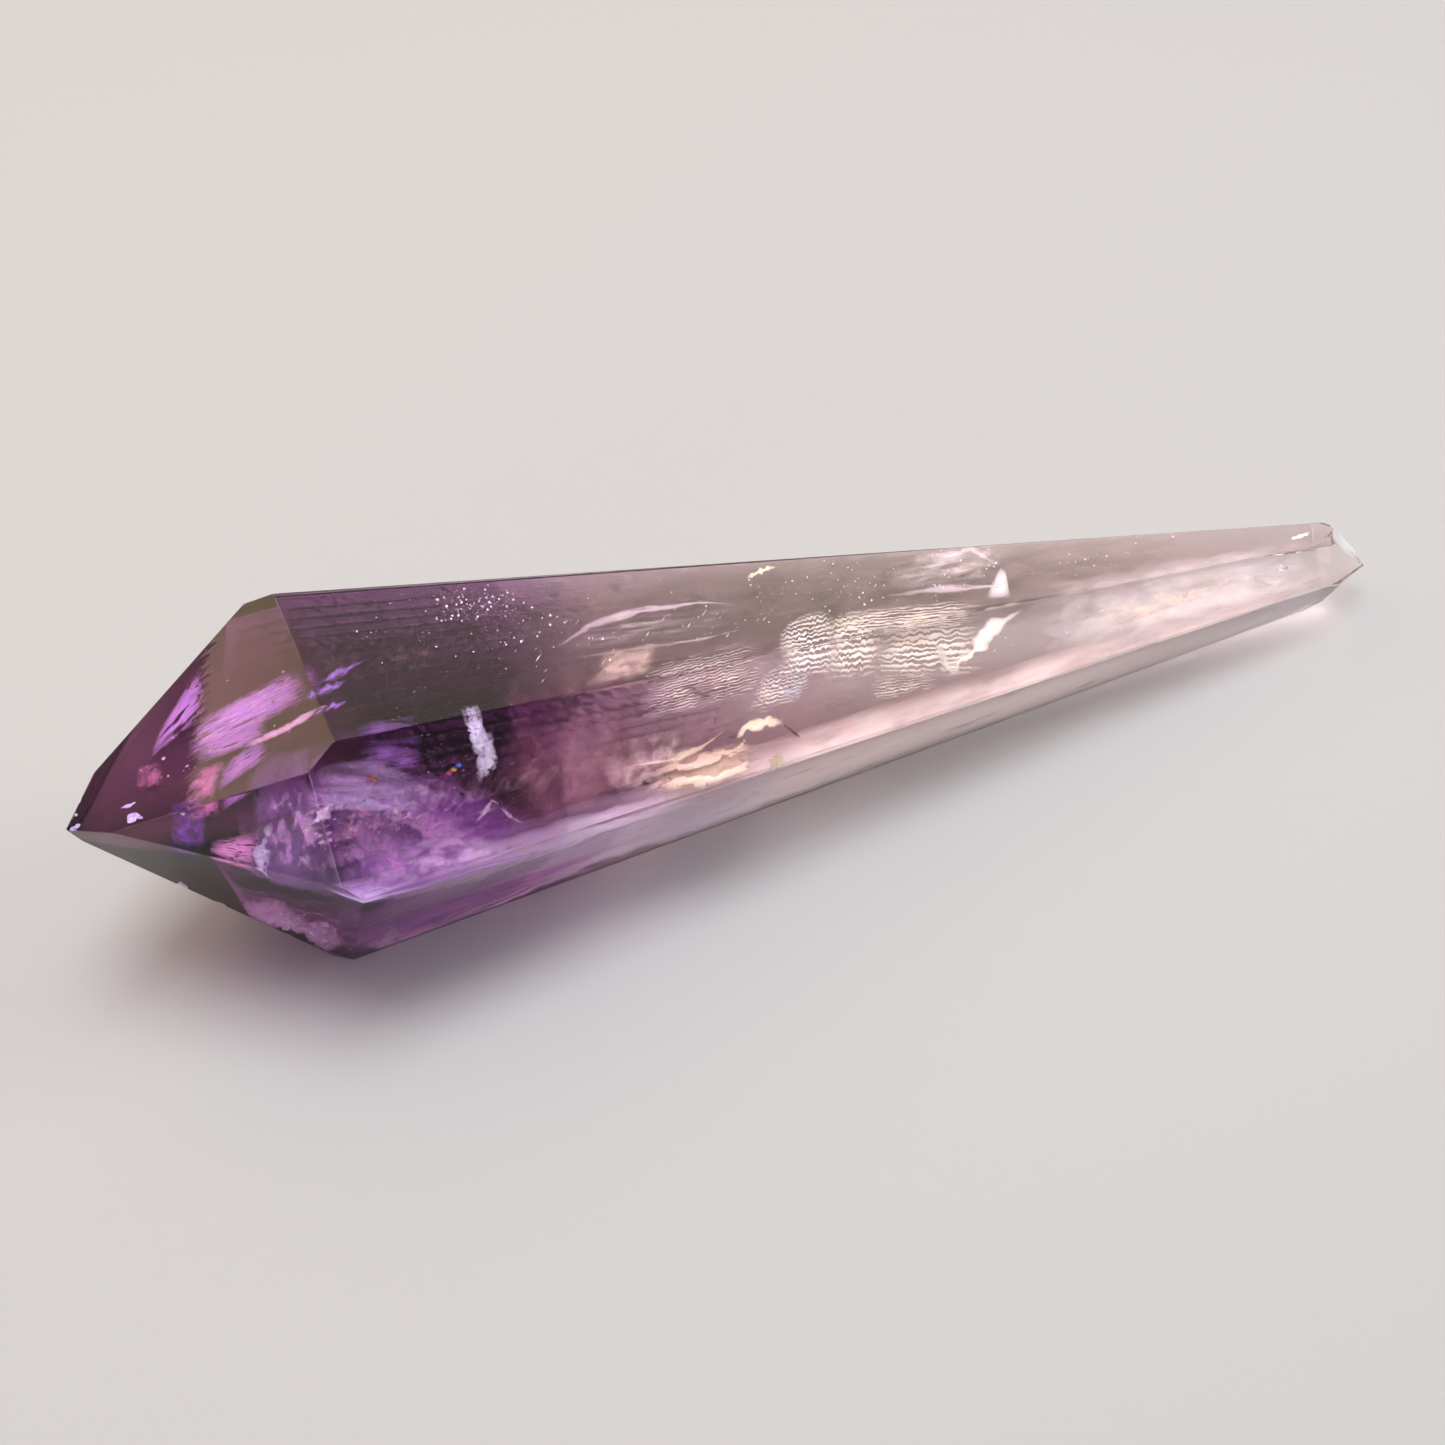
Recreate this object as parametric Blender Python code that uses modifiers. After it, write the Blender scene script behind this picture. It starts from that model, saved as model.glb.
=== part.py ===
"""Polished amethyst wand: one tapered six-sided stone, cut to a point at each end.

The stone is shaped the way a lapidary shapes it. A rough bar is ground back to one
flat facet after another, and each facet has three settings: its clock angle round
the long axis, its tilt from that axis, and its depth. After that the arrises are
eased by the polishing wheel and a few small chips are broken out of them.

Metres, +Z up. The long axis runs along X with the slim end at +X, and the stone
lies on its bottom facet. The origin is under the middle of the stone.
"""
import math

import bmesh
import bpy
from mathutils import Matrix, Vector

LENGTH = 0.180             # point to point along the axis
SHOULDER = 0.0432          # from the broad point to the widest section
ROUGH_RADIUS = 0.026       # the bar before it is ground
ROUGH_SIDES = 24
ROUGH_SPARE = 0.004        # rough stone past each point
ARRIS_WIDTH = 0.00018      # the wheel rounds each edge by this much
ARRIS_SEGMENTS = 2
ARRIS_ANGLE = math.radians(4)
WELD = 0.000002            # doubles closer than this are one vertex

# Clock angles are in degrees from the front, -Y, turning up towards +Z.
# Body facets: clock, taper towards the slim end, distance from the axis at SHOULDER.
BODY_FACETS = {
    "top": (89.0, 4.54, 0.01734),
    "front_upper": (29.5, 6.09, 0.01892),
    "front_lower": (-25.4, 6.48, 0.01798),
    "bottom": (-90.0, 5.86, 0.01885),
    "back_lower": (-150.0, 5.93, 0.01845),
    "back_upper": (151.8, 6.12, 0.01906),
}

# Broad point: three main facets meet at the tip and three lesser ones end short of it.
# Clock, tilt from the axis, and where the facet's plane crosses the axis.
BROAD_POINT_FACETS = {
    "main_top": (89.7, 32.6, -0.00025),
    "main_front_lower": (-29.5, 32.9, 0.0002),
    "main_back_lower": (-150.8, 33.5, 0.00005),
    "lesser_front_upper": (23.6, 35.1, -0.0036),
    "lesser_bottom": (-89.5, 33.3, -0.0016),
    "lesser_back_upper": (150.2, 35.4, -0.0040),
}

# Slim point: short facets, the top one steeper because that side is worn back.
SLIM_POINT_FACETS = {
    "slim_top": (82.2, 47.0, 0.1796),
    "slim_front_upper": (32.0, 27.0, 0.1800),
    "slim_front_lower": (-26.0, 24.0, 0.1806),
    "slim_bottom": (-88.0, 30.0, 0.1806),
    "slim_back_lower": (-145.0, 33.0, 0.1806),
    "slim_back_upper": (143.0, 38.0, 0.1801),
}

# Chips: the two facets whose arris is broken, distance from the broad point along
# the axis, radius of the bite and how deep it goes.
CHIPS = (
    ("main_top", "lesser_front_upper", 0.0121, 0.0012, 0.00042),
    ("main_top", "main_back_lower", 0.0024, 0.0006, 0.00018),
    ("main_front_lower", "lesser_bottom", 0.0167, 0.0014, 0.00040),
    ("main_front_lower", "lesser_bottom", 0.0243, 0.0010, 0.00025),
    ("front_lower", "bottom", 0.1030, 0.0013, 0.00038),
    ("slim_top", "slim_front_upper", 0.1788, 0.0010, 0.00030),
)
CHIP_DETAIL = 2            # subdivisions of the round bite

STONE_COLOUR = (0.33, 0.20, 0.36, 1.0)
STONE_ROUGHNESS = 0.06
STONE_IOR = 1.544
STONE_TRANSMISSION = 0.85


def clear_scene():
    """Empties the scene so the script can be run again."""
    for thing in list(bpy.data.objects):
        bpy.data.objects.remove(thing, do_unlink=True)


def outward(clock):
    """Unit vector away from the axis at a clock angle in degrees."""
    angle = math.radians(clock)
    return Vector((0.0, -math.cos(angle), math.sin(angle)))


def body_plane(clock, taper, radius):
    """Point and outward normal of a long body facet."""
    out = outward(clock)
    lean = math.radians(taper)
    normal = Vector((math.sin(lean), 0.0, 0.0)) + math.cos(lean) * out
    return Vector((SHOULDER, 0.0, 0.0)) + radius * out, normal


def point_plane(clock, tilt, crossing, towards):
    """Point and outward normal of a facet of a point that looks along towards*X."""
    lean = math.radians(tilt)
    normal = Vector((towards * math.sin(lean), 0.0, 0.0)) + math.cos(lean) * outward(clock)
    return Vector((crossing, 0.0, 0.0)), normal


def facet_planes():
    """Every facet of the stone as name: (point, outward normal)."""
    planes = {name: body_plane(*setting) for name, setting in BODY_FACETS.items()}
    for name, setting in BROAD_POINT_FACETS.items():
        planes[name] = point_plane(*setting, -1)
    for name, setting in SLIM_POINT_FACETS.items():
        planes[name] = point_plane(*setting, 1)
    return planes


def rough_bar():
    """The bar of rough stone, lying along X, as an open bmesh to be cut."""
    bm = bmesh.new()
    depth = LENGTH + 2 * ROUGH_SPARE
    bmesh.ops.create_cone(bm, cap_ends=True, segments=ROUGH_SIDES, radius1=ROUGH_RADIUS,
                          radius2=ROUGH_RADIUS, depth=depth)
    bmesh.ops.transform(bm, matrix=Matrix.Rotation(math.pi / 2, 4, "Y"), verts=bm.verts)
    bmesh.ops.translate(bm, vec=(LENGTH / 2, 0.0, 0.0), verts=bm.verts)
    return bm


def grind(bm, point, normal):
    """Cuts the stone back to one plane and closes the cut with a single flat facet."""
    everything = bm.verts[:] + bm.edges[:] + bm.faces[:]
    cut = bmesh.ops.bisect_plane(bm, geom=everything, dist=WELD, plane_co=point,
                                 plane_no=normal, clear_outer=True)
    rim = [part for part in cut["geom_cut"] if isinstance(part, bmesh.types.BMEdge)]
    bmesh.ops.edgeloop_fill(bm, edges=rim)
    bmesh.ops.remove_doubles(bm, verts=bm.verts, dist=WELD)


def rest_turn():
    """Turns the stone so that its bottom facet lies level."""
    taper = math.radians(BODY_FACETS["bottom"][1])
    return Matrix.Rotation(taper, 4, "Y")


def stone_material():
    """Clear purple quartz."""
    material = bpy.data.materials.new("polished_amethyst")
    material.use_nodes = True
    shader = material.node_tree.nodes["Principled BSDF"]
    shader.inputs["Base Color"].default_value = STONE_COLOUR
    shader.inputs["Roughness"].default_value = STONE_ROUGHNESS
    shader.inputs["Metallic"].default_value = 0.0
    shader.inputs["IOR"].default_value = STONE_IOR
    shader.inputs["Transmission Weight"].default_value = STONE_TRANSMISSION
    material.diffuse_color = STONE_COLOUR
    return material


def arris_point(planes, first, second, along):
    """The point where two facets meet at a distance along the axis."""
    rows = Matrix((planes[first][1], planes[second][1], Vector((1.0, 0.0, 0.0))))
    sides = Vector((planes[first][1].dot(planes[first][0]),
                    planes[second][1].dot(planes[second][0]), along))
    return rows.inverted() @ sides


def add_chip(stone, planes, place, chip, number, cutters):
    """Bites one small chip out of an arris of the stone with a round cutter."""
    first, second, along, radius, depth = chip
    out = (planes[first][1] + planes[second][1]).normalized()
    centre = arris_point(planes, first, second, along) + (radius - depth) * out
    bpy.ops.mesh.primitive_ico_sphere_add(subdivisions=CHIP_DETAIL, radius=radius,
                                          location=place @ centre)
    cutter = bpy.context.object
    cutter.name = f"chip_cutter_{number}"
    cutter.hide_render = True
    cutter.display_type = "WIRE"
    for collection in list(cutter.users_collection):
        collection.objects.unlink(cutter)
    cutters.objects.link(cutter)
    bite = stone.modifiers.new(f"chip_{number}", "BOOLEAN")
    bite.operation = "DIFFERENCE"
    bite.solver = "EXACT"
    bite.object = cutter


def make_stone(planes, collection):
    """The ground and eased stone on its bottom facet, with the move that put it there."""
    bm = rough_bar()
    for point, normal in planes.values():
        grind(bm, point, normal)
    turn = rest_turn()
    bmesh.ops.transform(bm, matrix=turn, verts=bm.verts)
    low = Vector([min(v.co[axis] for v in bm.verts) for axis in range(3)])
    high = Vector([max(v.co[axis] for v in bm.verts) for axis in range(3)])
    drop = Matrix.Translation((-(low.x + high.x) / 2, -(low.y + high.y) / 2, -low.z))
    bmesh.ops.transform(bm, matrix=drop, verts=bm.verts)
    bmesh.ops.recalc_face_normals(bm, faces=bm.faces)
    mesh = bpy.data.meshes.new("amethyst_wand")
    bm.to_mesh(mesh)
    bm.free()
    stone = bpy.data.objects.new("amethyst_wand", mesh)
    collection.objects.link(stone)
    mesh.materials.append(stone_material())
    ease = stone.modifiers.new("eased_arrises", "BEVEL")
    ease.width = ARRIS_WIDTH
    ease.segments = ARRIS_SEGMENTS
    ease.limit_method = "ANGLE"
    ease.angle_limit = ARRIS_ANGLE
    return stone, drop @ turn


def main():
    clear_scene()
    wand = bpy.data.collections.new("amethyst_wand")
    cutters = bpy.data.collections.new("cutters")
    bpy.context.scene.collection.children.link(wand)
    bpy.context.scene.collection.children.link(cutters)
    planes = facet_planes()
    stone, place = make_stone(planes, wand)
    for number, chip in enumerate(CHIPS, start=1):
        add_chip(stone, planes, place, chip, number, cutters)


main()
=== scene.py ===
"""Looks of the polished amethyst wand: the stone's finish, its colour zones and what is inside it.

Lengths are in metres in the stone's own frame: +X runs to the slim point, -Y is the front and the
stone lies on Z = 0. What lies inside the stone is placed by where it is seen in the photograph: a
sight line through a named pixel is bent at the facet it meets, then followed down to a stated depth.
"""
import math

import bmesh
import bpy
import numpy as np
from mathutils import Matrix, Vector


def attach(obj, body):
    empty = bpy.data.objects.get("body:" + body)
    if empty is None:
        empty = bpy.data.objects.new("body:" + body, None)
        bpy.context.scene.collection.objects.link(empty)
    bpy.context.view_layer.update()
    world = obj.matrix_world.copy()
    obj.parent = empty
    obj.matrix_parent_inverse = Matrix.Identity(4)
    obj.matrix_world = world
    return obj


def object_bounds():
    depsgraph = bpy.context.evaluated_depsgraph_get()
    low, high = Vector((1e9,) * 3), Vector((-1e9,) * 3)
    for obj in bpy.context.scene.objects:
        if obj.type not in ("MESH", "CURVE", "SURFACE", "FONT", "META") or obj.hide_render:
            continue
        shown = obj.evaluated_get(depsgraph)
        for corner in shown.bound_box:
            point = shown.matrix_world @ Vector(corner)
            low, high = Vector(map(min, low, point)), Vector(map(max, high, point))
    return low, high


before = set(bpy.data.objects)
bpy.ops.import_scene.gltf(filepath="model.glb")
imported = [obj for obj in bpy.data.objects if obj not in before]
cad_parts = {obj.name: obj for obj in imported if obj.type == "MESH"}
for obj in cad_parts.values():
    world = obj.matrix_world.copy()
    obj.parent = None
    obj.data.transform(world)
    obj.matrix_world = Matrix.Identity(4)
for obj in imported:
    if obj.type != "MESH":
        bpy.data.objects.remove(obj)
cad_low, cad_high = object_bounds()
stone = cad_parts["amethyst_wand"]

QUARTZ_IOR = 1.544
SKIN = 0.00012              # what is inside the stone stays this far under its surface
HAIR = 0.00003              # the film of painted glare lies this far above it
HOLD_ROUNDS = 3             # how often a point is pushed back in through all the facets

# Camera: where it stands, which way it looks and its lens on a square 36 mm sensor
PHOTO_SIDE = 1445
PHOTO_MIDDLE = PHOTO_SIDE / 2
CAMERA_PLACE = (-0.10776, -0.24443, 0.26793)
CAMERA_HEADING = 22.53
CAMERA_DOWN = 44.32
CAMERA_LENS = 72.0
CAMERA_NEAR = 0.01
SENSOR = 36.0

# Facets: triangles are one facet when their normals and distances are the same after rounding
NORMAL_STEPS = 60
DISTANCE_STEPS = 4000
LEAST_FACET = 6e-6          # square metres; eased arrises and chips are smaller
LEAST_TRIANGLE = 1e-12

# Random shapes
PHASES = 6.3                # a wave starts anywhere in about one turn
WAVE_PITCH = 3.0
COARSE_WAVES = 6
FINE_WAVES = 9
RIBBON_ROWS = 4
BLUNT = 0.02                # keeps a ribbon's ends from being needles
SWAY = 0.15                 # share of a ribbon's width by which its middle line wanders
GATHER = 1.7                # how much flecks gather towards the middle of their place
STREAK_TURN = 0.08          # share of a full turn by which stretched flecks stray from their lean
FLECK_RUMPLE = 0.0002

# Places in the photograph, as listed pixels. A sheet, a film or a cloud of flecks has four: the
# low and the high corner of its left side, then the high and the low corner of its right side. A
# ribbon has the points of its middle line.
PLACES = {
    # Broad point
    "red_painted_shade": ((50, 856), (60, 764), (256, 555), (380, 790)),
    "pink_fibres": ((184, 766), (192, 722), (300, 664), (312, 698)),
    "pink_fibres_low": ((194, 768), (200, 738), (262, 708), (270, 738)),
    "pink_line": ((243, 747), (285, 729), (322, 707)),
    "violet_streak": ((214, 796), (222, 764), (264, 732), (272, 756)),
    "violet_patch": ((146, 764), (160, 728), (200, 664), (208, 712)),
    "rose_patch": ((134, 794), (136, 768), (160, 758), (166, 784)),
    "rose_wedge": ((180, 806), (196, 768), (226, 758), (214, 803)),
    "violet_dash_high": ((318, 684), (340, 672), (366, 660)),
    "violet_dash_middle": ((314, 694), (330, 688), (346, 682)),
    "violet_dash_low": ((322, 712), (334, 706), (348, 700)),
    "tip_sparks": ((100, 820), (215, 650), (320, 680), (290, 770)),
    "pink_feather": ((206, 852), (212, 840), (262, 830), (256, 872)),
    "violet_block": ((168, 848), (172, 812), (208, 806), (206, 850)),
    "fracture_edge": ((272, 822), (260, 850), (268, 888)),
    # Lilac patch and what glints round it
    "slate_cloud": ((240, 880), (254, 780), (312, 764), (346, 906)),
    "blue_film_low": ((326, 914), (330, 880), (410, 872), (440, 902)),
    "blue_film_high": ((312, 812), (314, 784), (404, 786), (430, 812)),
    "lilac_light": ((392, 890), (396, 836), (480, 824), (520, 852)),
    "lilac_cloud_right": ((350, 925), (300, 765), (450, 768), (620, 862)),
    "lilac_crumbs_left": ((262, 862), (268, 796), (306, 780), (334, 880)),
    "lilac_crumbs_right": ((346, 900), (308, 778), (410, 790), (500, 852)),
    "pink_crumbs": ((322, 848), (308, 792), (380, 792), (432, 824)),
    "lilac_swirl": ((352, 776), (362, 740), (424, 732), (424, 772)),
    "grey_mist": ((318, 792), (312, 768), (370, 752), (470, 806)),
    "white_sparks": ((300, 850), (316, 786), (400, 800), (470, 850)),
    "deep_sparks": ((400, 850), (370, 740), (520, 700), (560, 820)),
    "white_stroke": ((302, 832), (310, 826), (322, 816)),
    "white_stroke_high": ((318, 822), (326, 814), (334, 802)),
    "white_crack": ((474, 826), (484, 812), (492, 800), (500, 806)),
    "white_crack_right": ((500, 806), (512, 818), (524, 824)),
    "white_flake_high": ((474, 756), (462, 716), (480, 708), (492, 750)),
    "white_flake_low": ((478, 786), (472, 734), (492, 730), (500, 766)),
    "orange_glint": ((366, 776), (378, 781)),
    "rainbow_pink": ((444, 776), (452, 772)),
    "rainbow_yellow": ((449, 772), (457, 768)),
    "rainbow_blue": ((454, 768), (462, 764)),
    # Ripples
    "silver_lines": ((636, 726), (640, 680), (764, 642), (776, 690)),
    "fingerprint_low": ((744, 718), (762, 668), (806, 656), (804, 704)),
    "fingerprint_high": ((774, 688), (786, 620), (842, 606), (838, 678)),
    "blue_print": ((780, 704), (788, 664), (812, 658), (808, 696)),
    "cream_streaks_left": ((824, 682), (832, 618), (886, 610), (880, 676)),
    "cream_streaks_right": ((868, 680), (872, 628), (984, 616), (984, 676)),
    "fine_streaks": ((830, 636), (836, 612), (990, 596), (970, 624)),
    "fine_streaks_low": ((866, 704), (870, 676), (944, 668), (940, 690)),
    "angular_veil": ((936, 640), (952, 664), (972, 655), (990, 630), (1024, 606)),
    "wedge_veil": ((984, 600), (1000, 566), (1006, 570), (1012, 598)),
    # Long facets
    "cream_patch": ((644, 802), (650, 760), (752, 736), (762, 776)),
    "cream_backing": ((648, 800), (654, 762), (750, 738), (758, 774)),
    "cream_arc": ((736, 740), (746, 727), (768, 721), (784, 724)),
    "cream_stem": ((738, 750), (742, 744), (746, 738)),
    "cream_wisp": ((628, 766), (670, 760), (700, 748), (728, 729)),
    "brown_needle": ((784, 725), (800, 737)),
    "small_flake": ((767, 772), (776, 766), (786, 760)),
    "top_wisps": ((556, 654), (590, 622), (745, 604), (745, 630)),
    "top_veins": ((880, 596), (885, 552), (1010, 530), (1012, 575)),
    "wisp_edge": ((549, 652), (590, 626), (640, 610), (700, 602), (745, 606)),
    "wisp_edge_low": ((556, 660), (640, 648), (700, 640), (745, 628)),
    "pink_vein": ((880, 596), (930, 590), (1000, 586), (1010, 578)),
    "pink_vein_high": ((925, 552), (950, 556), (970, 548), (1000, 566)),
    "pink_cloud": ((1030, 672), (1040, 594), (1330, 546), (1330, 590)),
    "cream_cloud_right": ((1100, 642), (1105, 586), (1256, 564), (1256, 608)),
    "cream_cloud_left": ((600, 800), (610, 740), (690, 726), (690, 780)),
    "body_cloud": ((610, 800), (620, 700), (1000, 612), (1000, 690)),
    "top_painted_shade": ((500, 690), (520, 580), (1200, 528), (1200, 575)),
    "upper_painted_shade": ((480, 712), (500, 575), (960, 535), (960, 615)),
    "rose_margin": ((600, 850), (600, 790), (1330, 566), (1330, 598)),
    "maroon_front": ((500, 850), (494, 706), (640, 680), (670, 800)),
    "top_cream": ((580, 690), (604, 648), (664, 640), (650, 678)),
    "top_glint": ((745, 578), (760, 571), (778, 566)),
    # Satin of the lower front facet
    "satin_violet": ((340, 968), (352, 896), (660, 800), (660, 848)),
    "satin_pale_left": ((370, 926), (376, 892), (790, 758), (770, 802)),
    "satin_pale_right": ((560, 888), (570, 830), (1322, 586), (1320, 606)),
    "satin_pink": ((366, 952), (450, 922), (540, 884), (600, 864)),
    "rim_sparks": ((250, 920), (262, 896), (350, 932), (352, 952)),
    "rim_glow": ((236, 899), (270, 913), (310, 930), (352, 946)),
    "rim_glow_right": ((356, 948), (420, 934), (500, 908)),
    "satin_silver": ((378, 903), (450, 879), (540, 850), (640, 817), (720, 791)),
    "satin_silver_low": ((520, 889), (600, 856), (700, 821), (800, 786), (900, 751)),
    # Nicks with painted glints, and painted glare and highlights on the worn slim point
    "tip_nick": ((68, 818), (72, 812), (77, 816)),
    "tip_nick_low": ((70, 830), (76, 827), (80, 824)),
    "arris_nick": ((128, 823), (134, 815), (143, 818)),
    "arris_nick_white": ((130, 818), (134, 820), (138, 815)),
    "arris_streak": ((121, 808), (128, 806), (136, 802)),
    "slim_glare": ((1330, 540), (1332, 526), (1360, 551), (1356, 563)),
    "slim_shine": ((1292, 539), (1300, 536), (1310, 533)),
    "slim_spark": ((1278, 570), (1283, 568), (1288, 567)),
    "rim_nick": ((177, 884), (182, 886), (188, 889)),
    # Dust
    "dust_patch": ((430, 625), (430, 588), (520, 582), (520, 620)),
    "dust_left": ((340, 690), (330, 600), (640, 575), (640, 660)),
    "dust_right": ((640, 650), (640, 570), (1200, 530), (1200, 560)),
    "dust_front": ((800, 720), (600, 690), (1200, 575), (1250, 600)),
    "dust_scores": ((480, 700), (490, 640), (900, 560), (900, 600)),
}

# The warm panel's mirror image on the broad point ends along a line from the first of these pixels to
# the second, and lies on the third one's side of it.
PANEL_EDGE_HIGH = (207, 645)
PANEL_EDGE_LOW = (198, 731)
PANEL_MIDDLE = (290, 690)


def camera_axes():
    """Forward, right and up of the camera, from its heading and how far it looks down."""
    turn, down = math.radians(CAMERA_HEADING), math.radians(CAMERA_DOWN)
    forward = np.array((math.sin(turn) * math.cos(down), math.cos(turn) * math.cos(down), -math.sin(down)))
    right = np.array((math.cos(turn), -math.sin(turn), 0.0))
    return forward, right, np.cross(right, forward)


def make_camera():
    """The camera at the photograph's viewing angle."""
    forward, right, up = camera_axes()
    data = bpy.data.cameras.new("camera")
    data.lens = CAMERA_LENS
    data.sensor_width = SENSOR
    data.sensor_height = SENSOR
    data.clip_start = CAMERA_NEAR
    camera = bpy.data.objects.new("camera", data)
    axes = Matrix((right, up, -forward)).transposed().to_4x4()
    camera.matrix_world = Matrix.Translation(CAMERA_PLACE) @ axes
    bpy.context.scene.collection.objects.link(camera)
    bpy.context.scene.camera = camera


def stone_facets(node):
    """Outward normals and distances of the stone's flat facets.

    Triangles whose normals and distances agree are one facet; a facet is kept when its triangles
    add up to more than LEAST_FACET, which drops the eased arrises and the chips.
    """
    mesh = node.data
    mesh.calc_loop_triangles()
    count = len(mesh.loop_triangles)
    corners = np.empty(count * 3, np.int32)
    mesh.loop_triangles.foreach_get("vertices", corners)
    places = np.empty(len(mesh.vertices) * 3)
    mesh.vertices.foreach_get("co", places)
    tri = places.reshape(-1, 3)[corners.reshape(-1, 3)]
    cross = np.cross(tri[:, 1] - tri[:, 0], tri[:, 2] - tri[:, 0])
    area = np.linalg.norm(cross, axis=1) / 2
    good = area > LEAST_TRIANGLE
    area = area[good]
    normal = cross[good] / (2 * area[:, None])
    offset = np.einsum("ij,ij->i", normal, tri[good, 0])
    key = np.round(np.column_stack((normal * NORMAL_STEPS, offset * DISTANCE_STEPS))).astype(int)
    which = np.unique(key, axis=0, return_inverse=True)[1].ravel()
    kept = np.flatnonzero(np.bincount(which, area) > LEAST_FACET)
    table = np.column_stack((normal, offset))
    planes = np.array([np.average(table[which == k], axis=0, weights=area[which == k]) for k in kept])
    size = np.linalg.norm(planes[:, :3], axis=1, keepdims=True)
    return planes[:, :3] / size, planes[:, 3] / size[:, 0]


FACET_NORMALS, FACET_OFFSETS = stone_facets(stone)


def sight_lines(px, py):
    """Unit directions of the sight lines through photo pixels."""
    forward, right, up = camera_axes()
    scale = CAMERA_LENS / SENSOR * PHOTO_SIDE
    aside = (np.asarray(px, float)[..., None] - PHOTO_MIDDLE) / scale
    above = (PHOTO_MIDDLE - np.asarray(py, float)[..., None]) / scale
    way = forward + aside * right + above * up
    return way / np.linalg.norm(way, axis=-1, keepdims=True)


def facet_at(px, py):
    """The facet that a sight line meets first: the last plane that it crosses inwards."""
    slope = FACET_NORMALS @ sight_lines(px, py)
    reach = (FACET_OFFSETS - FACET_NORMALS @ np.array(CAMERA_PLACE)) / slope
    inwards = np.flatnonzero(slope < 0)
    return inwards[np.argmax(reach[inwards])]


def hold_inside(points):
    """Moves points that lie outside the stone, or too near its skin, back in through the facets."""
    for _ in range(HOLD_ROUNDS):
        for normal, offset in zip(FACET_NORMALS, FACET_OFFSETS):
            past = np.maximum(points @ normal - offset + SKIN, 0)
            points = points - past[..., None] * normal
    return points


def seen(px, py, depth, facet):
    """The points that show at photo pixels, depth metres along the bent sight lines in the stone.

    Snell's law turns each sight line at the facet:
    new = old / n + (cos / n - sqrt(1 - (1 - cos^2) / n^2)) * normal.
    """
    way = sight_lines(px, py)
    eye = np.array(CAMERA_PLACE)
    normal = FACET_NORMALS[facet]
    cosine = -way @ normal
    reach = (FACET_OFFSETS[facet] - normal @ eye) / (way @ normal)
    bend = cosine / QUARTZ_IOR - np.sqrt(1 - (1 - cosine ** 2) / QUARTZ_IOR ** 2)
    inside = way / QUARTZ_IOR + bend[..., None] * normal
    return hold_inside(eye + reach[..., None] * way + np.asarray(depth)[..., None] * inside)


def new_piece(name, mesh, material):
    """Links a mesh as a piece of the stone that rides on it."""
    piece = bpy.data.objects.new(name, mesh)
    bpy.context.scene.collection.objects.link(piece)
    mesh.materials.append(material)
    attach(piece, "root")
    return piece


def grid_mesh(name, points, wrap=False):
    """A mesh over an array of points [rows, columns, 3], closed round its columns if wrap is set.

    Its UV map gives the column as a share of one across and the row as a share of one up.
    """
    rows, columns = points.shape[:2]
    across = columns if wrap else columns - 1
    row, column = np.meshgrid(np.arange(rows - 1), np.arange(across), indexing="ij")
    beside = (column + 1) % columns
    faces = np.stack((row * columns + column, row * columns + beside,
                      (row + 1) * columns + beside, (row + 1) * columns + column), axis=-1).reshape(-1, 4)
    mesh = bpy.data.meshes.new(name)
    mesh.from_pydata(points.reshape(-1, 3).tolist(), [], faces.tolist())
    u = np.stack((column, column + 1, column + 1, column), -1) / across
    v = np.stack((row, row, row + 1, row + 1), -1) / (rows - 1)
    layer = mesh.uv_layers.new(name="patch")
    layer.data.foreach_set("uv", np.stack((u, v), axis=-1).reshape(-1).astype(np.float32))
    mesh.polygons.foreach_set("use_smooth", np.ones(len(mesh.polygons), bool))
    mesh.update()
    return mesh


def waves(rng, u, v, count=COARSE_WAVES):
    """A smooth random surface between about -1 and 1.

    Half the sum over k of sin(pitch * k * (u cos(t_k) + v sin(t_k)) + p_k) / k, with random t and p.
    """
    total = np.zeros(np.broadcast(u, v).shape)
    for k in range(1, count + 1):
        turn = rng.uniform(0, 2 * np.pi)
        pitch = WAVE_PITCH * k
        total += np.sin(pitch * (np.cos(turn) * u + np.sin(turn) * v) + rng.uniform(0, PHASES)) / k
    return total / 2


def between(corners, u, v):
    """Values bilinear in four corners: low and high corner of the left side, then high and low right."""
    a, b, c, d = (np.array(corner, float) for corner in corners)
    u, v = u[..., None], v[..., None]
    return (1 - u) * (1 - v) * a + (1 - u) * v * b + u * v * c + u * (1 - v) * d


def leaning(low, high):
    """Corner depths of a sheet whose high side lies deeper, so that it catches light from above."""
    return low, high, high, low


def sheet(name, depth, material, seed=0, rumple=0.0004, grid=(12, 32)):
    """A thin rumpled sheet in the stone that fills the four photo pixels of its place.

    Depth is one number, one for each side, or one for each corner, and rumple * waves(u, v) is added
    to it; u runs to the right and v up. Grid is its rows and columns.
    """
    rng = np.random.default_rng(seed)
    rows, columns = grid
    u, v = np.meshgrid(np.linspace(0, 1, columns), np.linspace(0, 1, rows))
    pixel = between(PLACES[name], u, v)
    if not isinstance(depth, tuple):
        depth = (depth, depth)
    if len(depth) == 2:
        depth = (depth[0], depth[0], depth[1], depth[1])
    down = between([(value,) for value in depth], u, v)[..., 0] + rumple * waves(rng, u, v)
    facet = facet_at(*pixel.mean(axis=(0, 1)))
    points = seen(pixel[..., 0], pixel[..., 1], np.maximum(down, 2 * SKIN), facet)
    return new_piece(name, grid_mesh(name, points), material)


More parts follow.
